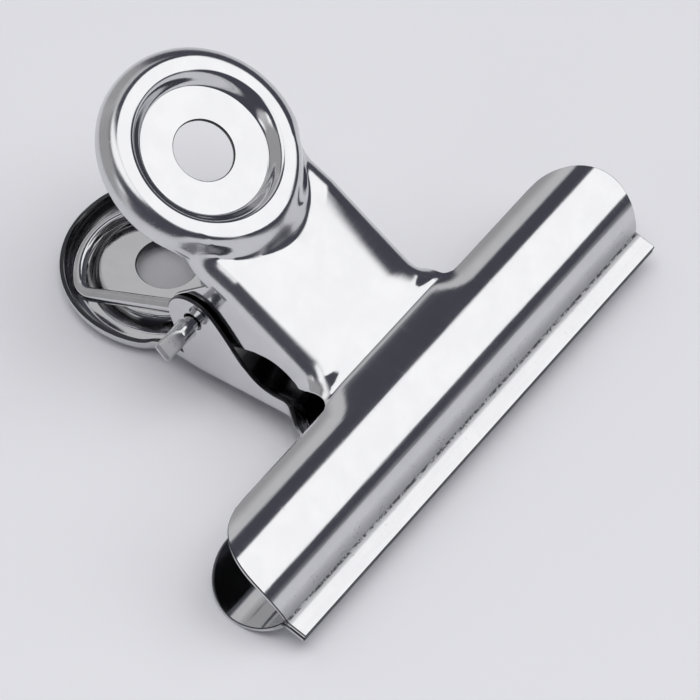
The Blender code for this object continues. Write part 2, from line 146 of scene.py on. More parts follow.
# The paddle from its root to its tip: shares of its length, width and thickness
PADDLE_FORM = ((0.30, 0.92, 1.0), (0.62, 0.97, 0.9), (0.88, 1.0, 0.8), (1.0, 0.84, 0.3))

# Spring
WIRE = 1.9 * MM
COIL_BORE_GAP = 0.45 * MM
COIL_TURN_GAP = 0.5 * MM
COIL_TURNS = 6
COIL_RADIUS = PIN_RADIUS + COIL_BORE_GAP + WIRE / 2
SEAT_GAP = 1.1 * MM
HOOK_RADIUS = 9.9 * MM
HOOK_SHIFT = 2.4 * MM
HOOK_LIFT = 0.8 * MM
HOOK_START = -55 * DEG
HOOK_END = 58 * DEG
HOOK_BEND = 1.5 * MM
LIFT_SHARE = 0.65

# Fineness, and angles that count as edges
LIP_ROWS = 4
CREASE_ROWS = 8
ARC_ROWS = 44
CORNER_ROWS = 16
WING_COLUMNS = 12
NECK_COLUMNS = 32
VALLEY_ROWS = 10
FILLET_ROWS = 8
FLANGE_ROWS = 5
EAR_EDGE_ROWS = 18
EAR_ROWS = 18
EAR_BACK_ROWS = 8
STRIP_ROWS = 8
RIM_ROWS = 48
FOLD_ROWS = 8
WALL_ROWS = 8
FLOOR_ROWS = 4
SLOPE_ROWS = 16
LAND_ROWS = 6
CUT_EDGE = 0.12 * MM
CUT_ANGLE = 60 * DEG
PLATE_SMOOTH = 25 * DEG
GRID_WELD = 0.004 * MM
NORMAL_WEIGHT = 60
BIT_SIDES = 48
PIN_SIDES = 64
PIN_EDGE_ANGLE = 40 * DEG
PIN_SMOOTH = 32 * DEG
COIL_POINTS = 28
HOOK_POINTS = 48
BEND_POINTS = 12
WIRE_ROUNDS = 4
WIRE_SMOOTH = 50 * DEG
WIRE_WELD = 0.001 * MM

PIVOT = next(Vector(j["pos_m"]) for j in frame["joints"] if j["name"] == "jaw_hinge")
STAND = Matrix.Translation(PIVOT) @ Matrix.Rotation(DISC_SLOPE, 4, "Y")

# Finish: scales are marks per metre, and a pair is where a mark begins and where it is full
CLOUD_SCALE = 260.0
CLOUD_TONES = (0.35, 0.75)
GRAIN_STRETCH = (2400.0, 90.0, 2400.0)
STREAK_STRETCH = (700.0, 22.0, 700.0)
SCRATCHES = (((0.3, 0.2, 0.5), (60.0, 2600.0, 2600.0), (0.70, 0.76)),
             ((0.1, 0.6, -0.8), (50.0, 2200.0, 2200.0), (0.71, 0.77)))
PINHOLE_SCALE = 2600.0
PINHOLE_EDGE = (0.10, 0.26)
PINHOLE_PATCHES = 420.0
PATCH_EDGE = (0.46, 0.62)
PINHOLE_WORK = (0.15, 0.9)
STRAY_PINHOLES = 0.04
SCORE_SCALE = 2600.0
SCORE_WORK = (1.05, 1.25)
SCORE_DOTS = (0.38, 0.60)
SCORE_SHARE = 0.7
PEEL_SCALE = 3200.0
PEEL_WORK = 0.35
PEEL_PLAIN = 0.04
CLOUD_RIPPLE = 0.5
STREAK_RIPPLE = 0.8
GRAIN_RIPPLE = 0.3
PINHOLE_PIT = 0.6
BUMP_STRENGTH = 0.5
BUMP_DEPTH = 0.06 * MM
CLOUD_ROUGH = 0.03
GRAIN_ROUGH = 0.06
SCRATCH_ROUGH = 0.06
WORKED_ROUGH = 0.45
PINHOLE_ROUGH = 0.3

# Painted shade and dark reflections on the inside, and a painted bright reflection on the sheared ends
PAINTED_SHADE_BAND = (-4 * MM, 14 * MM, 3 * MM)
RIM_CENTRE = (PIVOT.x - DISC_BACK, 0.0, SKIRT_DEPTH)
RIM_BAND = (12.4 * MM, 16 * MM, 0.6 * MM)
RIM_SIDE = (-9 * MM, -3 * MM)
RIM_PAINTED_SHADE = 0.9
SLOPE_BAND = (9.1 * MM, 10.0 * MM, 0.25 * MM)
JAW_END = (11 * MM, 13 * MM)
END_FACING = (0.75, 0.95)

# Room: shares of the direction's X and Y, angles in degrees, then how light it is
FAR_SIDE = (-0.10, 0.15)
NEAR_LEFT = (-0.05, 0.10)
NEAR_RIGHT = (-0.15, 0.0)
BEYOND = (0.57, 0.67)
LEFT_END = (-0.40, -0.22)
DIM_START = (122, 140)
FAR_PANEL = (20.5, 86.8, 1.0)
CEILING = (60, 95, 3)
LOW_PANEL = (28, 36, 2)
FRONT_GAP = ((-10, 9), (19.5, 21.5))
TOP_GAP = ((86.6, 88.4), (109, 113.5))
FOLD_GAP = (38, 57, 3)
LEFT_GAP = (50, 56, 2)
RIGHT_GAP = (4, 62, 3)
BACK_GAP = (2, 40, 4)
ROOM_LIGHT = 0.66
DIM_DROP = 0.24
PANEL_LIGHT = 1.34
GAP_LIGHT = 0.075
GAP_BLUE = 0.012
ROOM_BLUE = 0.01

# Table, key light and camera
TABLE_SIZE = 6.0
TABLE_CLOUD = 3.0
KEY_PLACE = (0.18, -0.05, 0.90)
KEY_WIDTH = 0.8
KEY_POWER = 3.15
CAMERA_PLACE = (0.249385, -0.305662, 0.504828)
CAMERA_TURN = (37.837 * DEG, 1.109 * DEG, 36.507 * DEG)
CAMERA_LENS = 257.14
CAMERA_SENSOR = 36.0
CAMERA_CLIP = (0.01, 20.0)


def spread(low, high, count):
    return [low + (high - low) * i / count for i in range(count)] + [high]


def ease(t):
    t = min(1.0, max(0.0, t))
    return t * t * (3 - 2 * t)


def heading(angle):
    return Vector((math.cos(angle), math.sin(angle)))


def up_side(angle):
    return heading(angle - math.pi / 2)


class SideView:
    """The plate's mid-surface from the side: straights and bends from the lip to the handle's end."""

    def __init__(self):
        self.pieces = []
        self.length = 0.0
        self.point = Vector((LIP_REACH, (LIP_GAP + SHEET) / 2))
        self.angle = math.pi

    def add(self, length, turn=0.0):
        self.pieces.append((self.length, length, turn, self.point.copy(), self.angle))
        self.point, self.angle = self.step(self.pieces[-1], length)
        self.length += length
        return self.length

    @staticmethod
    def step(piece, run):
        _, length, turn, point, angle = piece
        if turn == 0.0:
            return point + heading(angle) * run, angle
        bent = turn * run / length
        centre = point - up_side(angle) * (length / turn)
        return centre + up_side(angle + bent) * (length / turn), angle + bent

    def at(self, u):
        piece = self.pieces[0]
        for other in self.pieces:
            if other[0] <= u:
                piece = other
        return self.step(piece, u - piece[0])


def plate_side_view():
    path = SideView()
    marks = {"crease": path.add(LIP_WIDTH - CREASE_RADIUS * math.tan(JAW_RISE / 2))}
    marks["jaw"] = path.add(CREASE_RADIUS * JAW_RISE, -JAW_RISE)
    jaw_centre = path.point - up_side(path.angle) * JAW_RADIUS
    marks["back"] = path.add(JAW_RADIUS * JAW_SWEEP, JAW_SWEEP)
    handle_angle = math.pi - DISC_SLOPE
    stand = jaw_centre.dot(up_side(handle_angle)) + JAW_RADIUS
    handle = up_side(handle_angle) * (stand - RIDGE_HEIGHT) + heading(handle_angle) * DISC_BACK
    knee = handle - heading(handle_angle) * (DISC_RADIUS + DISC_MARGIN)
    sight = knee - path.point - up_side(path.angle) * VALLEY_RADIUS
    neck_angle = math.atan2(sight.y, sight.x) - math.asin(VALLEY_RADIUS / sight.length)
    turn = neck_angle - path.angle
    marks["neck"] = path.add(VALLEY_RADIUS * -turn, turn)
    bend = handle_angle - neck_angle
    trim = DISC_BEND * math.tan(bend / 2)
    marks["knee"] = path.add((knee - path.point).length - trim)
    marks["handle"] = path.add(DISC_BEND * bend, bend)
    marks["disc"] = path.add(DISC_RADIUS + DISC_MARGIN - trim)
    path.add(DISC_RADIUS)
    return path, marks


PATH, MARK = plate_side_view()


def relief(u, v):
    """Height of the handle's floor and ridge above the plain sheet, and the dip of the neck below it."""
    r = math.hypot(u - MARK["disc"], v)
    if r < RIDGE_INNER:
        return RIDGE_HEIGHT - (RIDGE_HEIGHT + FLOOR_DEPTH) * ease((RIDGE_INNER - r) / RIDGE_SLOPE)
    return RIDGE_HEIGHT * ease((RIDGE_FOOT - r) / RIDGE_FALL) + root_rise(u, v) - neck_dip(u, v, r)


def root_rise(u, v):
    """The jaw's back runs out straight into the neck, where its ends round down."""
    past = u - MARK["back"]
    share = max(0.0, 1 + past / ROOT_RUN) ** 2 if past < 0 else 1 - ease(past / ROOT_FADE)
    return ROOT_RISE * share * (1 - ease((abs(v) - NECK_WIDTH / 2 + ROOT_INSET) / ROOT_EDGE))


def crown(u, v):
    """The neck falls away to its folds, most of all next to the jaw."""
    share = max(0.0, (abs(v) - CROWN_START) / (NECK_WIDTH / 2 - FOLD_RADIUS - CROWN_START))
    past = u - MARK["neck"]
    along = ease(past / CROWN_RUN) * (1 - ease((past - CROWN_RUN) / CROWN_FADE))
    return CROWN_DROP * min(1.0, share) ** 2 * along


def neck_dip(u, v, r):
    """The neck sinks steadily from jaw to handle and climbs to it by a ramp, gentle in its middle."""
    ahead = MARK["disc"] - u
    sunk = (u - MARK["neck"]) / (MARK["disc"] - DIP_REACH - MARK["neck"])
    sunk = max(0.0, sunk) * ease((ahead - DIP_END) / (DIP_REACH - DIP_END))
    side = min(1.0, abs(v) / (NECK_WIDTH / 2))
    ramp = DIP_RAMP + (DIP_CORNER - DIP_RAMP) * side
    return (NECK_DIP * min(1.0, sunk) + crown(u, v)) * ease((r - RIM_INNER) / ramp)


def formed(u, v, drop=0.0):
    """Where a point of the flat blank ends up: u along the side view, v across, drop below the sheet."""
    point, angle = PATH.at(u)
    point = point + up_side(angle) * (relief(u, v) - drop)
    return Vector((point.x, v, point.y))


# Modelling by hand: select, add, shape, finish

def only(*objects):
    bpy.ops.object.select_all(action="DESELECT")
    for one in objects:
        one.select_set(True)
    bpy.context.view_layer.objects.active = objects[0]


def form_grid(rows):
    """A grid primitive pressed to shape: rows of (place in the clip's frame, how hard it was worked)."""
    bpy.ops.object.select_all(action="DESELECT")
    bpy.ops.mesh.primitive_grid_add(x_subdivisions=len(rows[0]) - 1, y_subdivisions=len(rows) - 1, size=1)
    made = bpy.context.object
    places = [STAND @ place for row in rows for place, _ in row]
    made.data.vertices.foreach_set("co", [c for place in places for c in place])
    worked = made.data.attributes.new("worked", "FLOAT", "POINT")
    worked.data.foreach_set("value", [strain for row in rows for _, strain in row])
    return made


def apply(made, kind, **settings):
    """Add a modifier with these settings and apply it."""
    only(made)
    step = made.modifiers.new(kind.lower(), kind)
    for key, value in settings.items():
        setattr(step, key, value)
    bpy.ops.object.modifier_apply(modifier=step.name)


def edit(made, *steps):
    """Run mesh operators on the whole of a mesh, each given with its settings."""
    only(made)
    bpy.ops.object.mode_set(mode="EDIT")
    for step, settings in steps:
        bpy.ops.mesh.select_all(action="SELECT")
        step(**settings)
    bpy.ops.object.mode_set(mode="OBJECT")


def merged(distance):
    return bpy.ops.mesh.remove_doubles, {"threshold": distance}


def facing_out():
    return bpy.ops.mesh.normals_make_consistent, {"inside": False}


def weld(name, parts):
    """Join grids that share edges into one sheet with its faces all one way."""
    only(*parts)
    bpy.ops.object.join()
    made = bpy.context.object
    made.name = made.data.name = name
    edit(made, merged(GRID_WELD), facing_out())
    return made


def flip(place, side):
    return Vector((place.x, place.y, side * place.z))


# The pressed plates

def jaw_half_length(u):
    corner = MARK["back"] - JAW_CORNER
    swelling = min(1.0, max(0.0, (u - MARK["jaw"]) / (corner - MARK["jaw"])))
    swell = JAW_SWELL * math.sin(math.pi / 2 * swelling)
    past = min(JAW_CORNER, max(0.0, u - corner))
    return JAW_LENGTH / 2 + swell - JAW_CORNER + math.sqrt(JAW_CORNER ** 2 - past ** 2)


def crease_strain(u):
    """How hard the sheet was worked: scored along the crease, fading over the lip and up the jaw."""
    if MARK["crease"] <= u <= MARK["jaw"]:
        return CREASE_SCORE
    past = u - (MARK["crease"] + MARK["jaw"]) / 2
    return 1 - ease(past / CREASE_WORK - CREASE_FLAT if past > 0 else -past / LIP_WORK)


def jaw_grid(root_half, side):
    """Lip, crease and rolled jaw, with columns that line up with the neck's."""
    corner = MARK["back"] - JAW_CORNER
    lines = spread(0.0, MARK["crease"], LIP_ROWS) + spread(MARK["crease"], MARK["jaw"], CREASE_ROWS)[1:]
    lines += spread(MARK["jaw"], corner, ARC_ROWS)[1:]
    lines += [corner + JAW_CORNER * math.sin(a) for a in spread(0.0, math.pi / 2, CORNER_ROWS)[1:]]
    rows = []
    for u in lines:
        half = jaw_half_length(u)
        across = spread(root_half, half, WING_COLUMNS)[1:]
        across = [-v for v in reversed(across)] + spread(-root_half, root_half, NECK_COLUMNS) + across
        rows.append([(flip(formed(u, v), side), crease_strain(u)) for v in across])
    return form_grid(rows)


def ear_curve(start, angle, root):
    """Lower edge of one side: an S from the flange to the ear, round the ear, then up to the ear's root."""
    tip = heading(EAR_FRONT) * EAR_RADIUS
    reach = (tip - start).length * EAR_EASE
    near = start + heading(angle) * reach
    far = tip + heading(EAR_FRONT + math.pi / 2) * reach
    curve = []
    for t in spread(0.0, 1.0, EAR_EDGE_ROWS)[:-1]:
        s = 1 - t
        curve.append(start * s ** 3 + near * (3 * s * s * t) + far * (3 * s * t * t) + tip * t ** 3)
    leave = math.atan2(root.y, root.x) + math.acos(EAR_RADIUS / root.length) - 2 * math.pi
    curve += [heading(a) * EAR_RADIUS for a in spread(EAR_FRONT, leave, EAR_ROWS)]
    last = curve[-1]
    return curve + [last.lerp(root, t) for t in spread(0.0, 1.0, EAR_BACK_ROWS)[1:-1]]


def side_stations(half_width):
    """Stations along one edge: inner line of the fold (u, v), outward direction, and the lower edge.

    The lower edge is a depth below the sheet, or a point of the side view on the ear. The second list is
    the round handle's rim.
    """
    inner = half_width - FOLD_RADIUS
    fillet_end = MARK["back"] + JAW_FILLET
    flange_end = fillet_end + FLANGE_RUN
    lines = spread(MARK["back"], MARK["neck"], VALLEY_ROWS)
    lines += spread(MARK["neck"], fillet_end, FILLET_ROWS)[1:]
    lines += spread(fillet_end, flange_end, FLANGE_ROWS)[1:-1]
    neck = []
    for u in lines:
        rest = max(0.0, fillet_end - u)
        across = math.sqrt(JAW_FILLET ** 2 - rest ** 2)
        depth = FLANGE_DEPTH * ease((u - MARK["back"]) / FLANGE_RISE)
        neck.append((u, inner + JAW_FILLET - across, Vector((rest, across)) / JAW_FILLET, depth))
    disc_reach = math.sqrt((RIM_INNER + DISC_FILLET) ** 2 - (inner + DISC_FILLET) ** 2)
    neck_end = MARK["disc"] - disc_reach
    swing = math.atan2(disc_reach, inner + DISC_FILLET)
    root_end = MARK["handle"] + EAR_ROOT
    rim_start = neck_end + DISC_FILLET * math.sin(swing)

    def side_depth(u):
        """Depth of the side behind the ear, which runs out into the handle's skirt."""
        run = (u - root_end) / (rim_start - root_end)
        return SKIRT_DEPTH + (EAR_ROOT_DEPTH - SKIRT_DEPTH) * (1 - ease(run * run))

    start = formed(flange_end, inner, FLANGE_DEPTH).xz
    root = formed(root_end, inner, EAR_ROOT_DEPTH).xz
    curve = ear_curve(start, PATH.at(flange_end)[1], root)
    for u, point in zip(spread(flange_end, MARK["handle"], len(curve) - 1), curve):
        neck.append((u, inner, Vector((0, 1)), point))
    for u in spread(root_end, neck_end, STRIP_ROWS):
        neck.append((u, inner, Vector((0, 1)), side_depth(u)))
    for a in spread(0.0, swing, FILLET_ROWS)[1:]:
        away = Vector((-math.sin(a), math.cos(a)))
        u = neck_end - DISC_FILLET * away.x
        neck.append((u, inner + DISC_FILLET * (1 - away.y), away, side_depth(u)))
    rim = []
    for a in spread(math.pi / 2 + swing, 0.0, RIM_ROWS):
        away = Vector((math.cos(a), math.sin(a)))
        rim.append((MARK["disc"] + RIM_INNER * away.x, RIM_INNER * away.y, away, SKIRT_DEPTH))
    return neck, rim, math.pi / 2 + swing


def neck_grid(neck, open_angle, side):
    """The neck from the jaw's back to the handle, its rows bending from straight to the handle's circle."""
    end = neck[-1]
    arc = spread(2 * math.pi - open_angle, open_angle, NECK_COLUMNS)
    rows = []
    for u, v, _, _ in neck:
        share = max(0.0, (u - MARK["neck"]) / (end[0] - MARK["neck"]))
        row = []
        for a, t in zip(arc, spread(-1.0, 1.0, NECK_COLUMNS)):
            along = u + share * (MARK["disc"] + RIM_INNER * math.cos(a) - end[0])
            across = v * ((1 - share) * t + share * RIM_INNER * math.sin(a) / end[1])
            row.append((flip(formed(along, across), side), 0.0))
        rows.append(row)
    return form_grid(rows)


def disc_grid(open_angle, side):
    """The round handle inside its rim: hole, floor, slope, ridge."""
    turns = spread(-open_angle, 0.0, RIM_ROWS)[:-1] + spread(0.0, open_angle, RIM_ROWS)[:-1]
    turns += spread(open_angle, 2 * math.pi - open_angle, NECK_COLUMNS)
    radii = spread(HOLE_RADIUS, FLOOR_RADIUS, FLOOR_ROWS)
    radii += spread(FLOOR_RADIUS, RIDGE_INNER, SLOPE_ROWS)[1:]
    radii += spread(RIDGE_INNER, RIM_INNER, LAND_ROWS)[1:]
    rows = []
    for r in radii:
        places = [(MARK["disc"] + r * math.cos(a), r * math.sin(a)) for a in turns]
        rows.append([(flip(formed(u, v), side), 0.0) for u, v in places])
    return form_grid(rows)


def wall_grid(stations, sign, side):
    """One folded side: the fold, then the flange, ear or skirt below it."""
    rows = []
    for u, v, away, low in stations:
        bent = math.pi / 2
        if not isinstance(low, Vector) and low < FOLD_RADIUS:
            bent = math.acos(1 - low / FOLD_RADIUS)
        column = []
        for a in spread(0.0, bent, FOLD_ROWS):
            out = away * FOLD_RADIUS * math.sin(a)
            spot = formed(u + out.x, v + out.y, FOLD_RADIUS * (1 - math.cos(a)))
            column.append((spot, FOLD_WORK * math.sin(2 * a)))
        top = column[-1][0]
        foot = top
        if isinstance(low, Vector):
            foot = Vector((low.x, top.y, low.y))
        elif low > FOLD_RADIUS:
            foot = formed(u + away.x * FOLD_RADIUS, v + away.y * FOLD_RADIUS, low)
        column += [(top.lerp(foot, t), 0.0) for t in spread(0.0, 1.0, WALL_ROWS)[1:]]
        rows.append([(Vector((p.x, sign * p.y, side * p.z)), strain) for p, strain in column])
    return form_grid(rows)


def plate(name, half_width, side):
    """One pressing: grids welded, given the sheet's thickness, its cut edges eased, drilled for the pin."""
    neck, rim, open_angle = side_stations(half_width)
    parts = [jaw_grid(neck[0][1], side), neck_grid(neck, open_angle, side), disc_grid(open_angle, side)]
    for sign in (1, -1):
        parts.append(wall_grid(neck + rim[1:], sign, side))
    made = weld(name, parts)
    face_out(made, STAND.to_3x3() @ Vector((0, 0, side)))
    for look in (plating, cut_steel, inner_plating):
        made.data.materials.append(look)
    apply(made, "SOLIDIFY", thickness=SHEET, offset=0.0, material_offset=2, material_offset_rim=1)
    apply(made, "BEVEL", width=CUT_EDGE, segments=1, limit_method="ANGLE", angle_limit=CUT_ANGLE,
          use_clamp_overlap=False)
    drill(made, half_width)
    only(made)
    bpy.ops.object.shade_smooth_by_angle(angle=PLATE_SMOOTH)
    apply(made, "WEIGHTED_NORMAL", keep_sharp=True, weight=NORMAL_WEIGHT)
    return made


def face_out(made, out):
    """Turn the sheet's faces over if its first one, on the lip, looks into the clip."""
    if made.data.polygons[0].normal.dot(out) < 0:
        edit(made, (bpy.ops.mesh.flip_normals, {}))


def drill(made, half_width):
    """Cut the pin's hole through both ears."""
    bpy.ops.object.select_all(action="DESELECT")
    bpy.ops.mesh.primitive_cylinder_add(vertices=BIT_SIDES, radius=PIN_RADIUS + SIDE_PLAY,
                                        depth=3 * half_width, location=PIVOT, rotation=(math.pi / 2, 0, 0))
    bit = bpy.context.object
    apply(made, "BOOLEAN", operation="DIFFERENCE", solver="EXACT", object=bit)
    bpy.data.objects.remove(bit)


# The pin

def pin_end(ear_face, share):
    """Sections of one end, from the middle out: place, half width, half thickness, squareness, working."""
    shoulder = ear_face + share * PIN_STANDOFF
    shank = shoulder + share * PIN_SHANK
    paddle = share * PADDLE_LENGTH
    collar = COLLAR_FALL * PIN_SHOULDER
    sections = [(y, PIN_RADIUS, PIN_RADIUS, ROUND, 0.0) for y in (0.0, ear_face, shoulder)]
    sections.append((shoulder + PIN_STEP, PIN_SHOULDER, PIN_SHOULDER, ROUND, 0.0))
    sections.append((shank - PIN_STEP, collar, collar, ROUND, 0.0))
    run, across, through = PINCH
    sections.append((shank + run * paddle, across * PIN_SHOULDER, through * PIN_SHOULDER,
                     PINCH_SQUARENESS, PINCH_WORK))
    for run, across, through in PADDLE_FORM:
        sections.append((shank + run * paddle, across * PADDLE_WIDTH / 2, through * PADDLE_THICKNESS / 2,
                         PADDLE_SQUARENESS, 1.0))
    return sections


def squared(share, squareness):
    """Cosine or sine round a rounded square: squareness 2 is a circle, more is squarer."""
    return math.copysign(abs(share) ** (2 / squareness), share)


def pin(ear_face):
    """Wire pin: a tube of sections along Y, a shoulder outside each ear, ends pinched flat."""
    sections = [(-y, *rest) for y, *rest in reversed(pin_end(ear_face, 1.0))]
    sections += pin_end(ear_face, FAR_END_SHARE)[1:]
    twist = Matrix.Rotation(PIN_TWIST, 4, "Y")
    rows = []
    for y, w, t, power, strain in sections:
        row = []
        for a in spread(0.0, 2 * math.pi, PIN_SIDES):
            place = Vector((w * squared(math.cos(a), power), y, t * squared(math.sin(a), power)))
            row.append((twist @ place, strain))
        rows.append(row)
    made = weld("pin", [form_grid(rows)])
    edit(made, (bpy.ops.mesh.fill_holes, {"sides": 0}), facing_out())
    made.data.materials.append(pin_steel)
    apply(made, "BEVEL", width=PIN_STEP, segments=2, limit_method="ANGLE", angle_limit=PIN_EDGE_ANGLE)
    only(made)
    bpy.ops.object.shade_smooth_by_angle(angle=PIN_SMOOTH)
    return made


# The spring

def spring_arm(coil_half):
    """The upper arm from coil to hook: a straight leg, a bend, and a hook round the inside of the rim."""
    centre, angle = PATH.at(MARK["disc"])
    seat_drop = SHEET / 2 - RIDGE_HEIGHT + SEAT_GAP + WIRE / 2

    def seat(a):
        lift = HOOK_LIFT * ease((a - HOOK_START) / (HOOK_END - HOOK_START) / LIFT_SHARE)
        point = centre - up_side(angle) * (seat_drop + lift) + heading(angle) * (HOOK_RADIUS * math.cos(a))
        return Vector((point.x, HOOK_SHIFT - HOOK_RADIUS * math.sin(a), point.y))

    corner = seat(HOOK_START)
    leave = math.atan2(corner.z, corner.x) - math.acos(COIL_RADIUS / math.hypot(corner.x, corner.z))
    start = Vector((COIL_RADIUS * math.cos(leave), coil_half(leave), COIL_RADIUS * math.sin(leave)))
    knee = corner - (corner - start).normalized() * HOOK_BEND
    first = HOOK_START + HOOK_BEND / HOOK_RADIUS
    points = [start.lerp(knee, t) for t in spread(0.0, 1.0, BEND_POINTS)[1:]]
    for t in spread(0.0, 1.0, BEND_POINTS)[1:]:
        points.append(knee * (1 - t) ** 2 + corner * (2 * t * (1 - t)) + seat(first) * t ** 2)
    points += [seat(a) for a in spread(first, HOOK_END, HOOK_POINTS)[1:]]
    points.append(points[-1] + (points[-1] - points[-2]).normalized() * WIRE)
    return leave, points


def spring():
    """One unbroken wire: lower arm, coil round the pin, upper arm."""
    pitch = WIRE + COIL_TURN_GAP

    def coil_half(leave):
        return pitch * (COIL_TURNS + leave / math.pi) / 2

    leave, arm = spring_arm(coil_half)
    half = coil_half(leave)
    swing = 2 * math.pi * COIL_TURNS + 2 * leave
    wire = [Vector((p.x, -p.y, -p.z)) for p in reversed(arm)]
    for t in spread(0.0, 1.0, round(COIL_TURNS * COIL_POINTS)):
        a = swing * t - leave
        wire.append(Vector((COIL_RADIUS * math.cos(a), half * (2 * t - 1), COIL_RADIUS * math.sin(a))))
    wire += arm
    curve = bpy.data.curves.new("spring", "CURVE")
    curve.dimensions = "3D"
    curve.bevel_depth = WIRE / 2
    curve.bevel_resolution = WIRE_ROUNDS
    curve.use_fill_caps = True
    line = curve.splines.new("POLY")
    line.points.add(len(wire) - 1)
    for spot, p in zip(line.points, wire):
        spot.co = (*(STAND @ p), 1)
    line.use_smooth = True
    made = bpy.data.objects.new("spring", curve)
    bpy.context.collection.objects.link(made)
    only(made)
    bpy.ops.object.convert(target="MESH")
    made = bpy.context.object
    made.data.materials.clear()
    made.data.materials.append(spring_wire)
    edit(made, merged(WIRE_WELD), facing_out())
    bpy.ops.object.shade_smooth_by_angle(angle=WIRE_SMOOTH)
    return made


# Materials

class Signal:
    """A socket that takes part in plain arithmetic: each operation adds its Math node."""

    def __init__(self, bench, socket):
        self.bench = bench
        self.socket = socket

    def math(self, operation, *others):
        return self.bench.add("ShaderNodeMath", {"operation": operation}, dict(enumerate((self, *others))))

    def __add__(self, other):
        return self.math("ADD", other)

    def __sub__(self, other):
        return self.math("SUBTRACT", other)

    def __rsub__(self, other):
        return self.bench.add("ShaderNodeMath", {"operation": "SUBTRACT"}, {0: other, 1: self})

    def __mul__(self, other):
        return self.math("MULTIPLY", other)

    __radd__ = __add__
    __rmul__ = __mul__

    def rise(self, low, high):
        """0 below low, 1 above high, eased between."""
        inputs = {"Value": self, "From Min": low, "From Max": high}
        return self.bench.add("ShaderNodeMapRange", {"interpolation_type": "SMOOTHSTEP"}, inputs)

    def between(self, start, end):
        return self.rise(*start) * (1 - self.rise(*end))

    def band(self, low, high, soft):
        return self.between((low - soft, low + soft), (high - soft, high + soft))

    def most(self, *others):
        """The largest of this signal and the others."""
        top = self
        for other in others:
            top = top.math("MAXIMUM", other)
        return top


class Bench:
    """The node tree of one material or of the world."""

    def __init__(self, owner):
        owner.use_nodes = True
        self.tree = owner.node_tree
        self.tree.nodes.clear()

    def add(self, kind, settings, inputs, output=0):
        node = self.tree.nodes.new(kind)
        for key, value in settings.items():
            setattr(node, key, value)
        for key, value in inputs.items():
            if isinstance(value, Signal):
                self.tree.links.new(value.socket, node.inputs[key])
            else:
                node.inputs[key].default_value = value
        return Signal(self, node.outputs[output]) if node.outputs else None

    def axis(self, where, name):
        return self.add("ShaderNodeSeparateXYZ", {}, {"Vector": where}, name)

    def noise(self, where, scale, detail=2.0):
        return self.add("ShaderNodeTexNoise", {}, {"Vector": where, "Scale": scale, "Detail": detail})

    def streaks(self, where, stretch, detail, turn=(0, 0, 0)):
        """Noise drawn out along one direction."""
        inputs = {"Vector": where, "Rotation": turn, "Scale": stretch}
        return self.noise(self.add("ShaderNodeMapping", {}, inputs), 1.0, detail)

    def blend(self, share, low, high):
        return self.add("ShaderNodeMix", {"data_type": "RGBA"}, {0: share, 6: low, 7: high}, 2)


def tone(grey, blue=0.0):
    return (grey, grey, grey + blue, 1.0)


def pinholes_in(b, where, worked, speck):
    """Pits in the plating, in patches where it was worked, and the dotted score along the crease."""
    cells = b.add("ShaderNodeTexVoronoi", {}, {"Vector": where, "Scale": PINHOLE_SCALE}, "Distance")
    patch = b.noise(where, PINHOLE_PATCHES, 1.0).rise(*PATCH_EDGE)
    share = worked.rise(*PINHOLE_WORK) * speck + STRAY_PINHOLES
    score = worked.rise(*SCORE_WORK) * b.noise(where, SCORE_SCALE, 1.0).rise(*SCORE_DOTS)
    return ((1 - cells.rise(*PINHOLE_EDGE)) * patch * share).most(score * SCORE_SHARE)


def painted_shade_mask(b, where):
    """Painted shade and dark reflections: from pivot to jaw, the foot of the lower handle's slope, the back
    of its rim.
    """
    apart = b.add("ShaderNodeVectorMath", {"operation": "DISTANCE"}, {0: where, 1: RIM_CENTRE}, "Value")
    rim = apart.band(*RIM_BAND) * b.axis(where, "Y").rise(*RIM_SIDE)
    rim = rim.most(apart.band(*SLOPE_BAND))
    return b.axis(where, "X").band(*PAINTED_SHADE_BAND).most(rim * RIM_PAINTED_SHADE)


def painted_end_sheen_mask(b, where):
    """The cut ends of the jaws, which face along the pin, where a reflection of the table is painted
    bright.
    """
    facing = b.add("ShaderNodeNewGeometry", {}, {}, "Normal")
    return b.axis(facing, "Y").math("ABSOLUTE").rise(*END_FACING) * b.axis(where, "X").rise(*JAW_END)


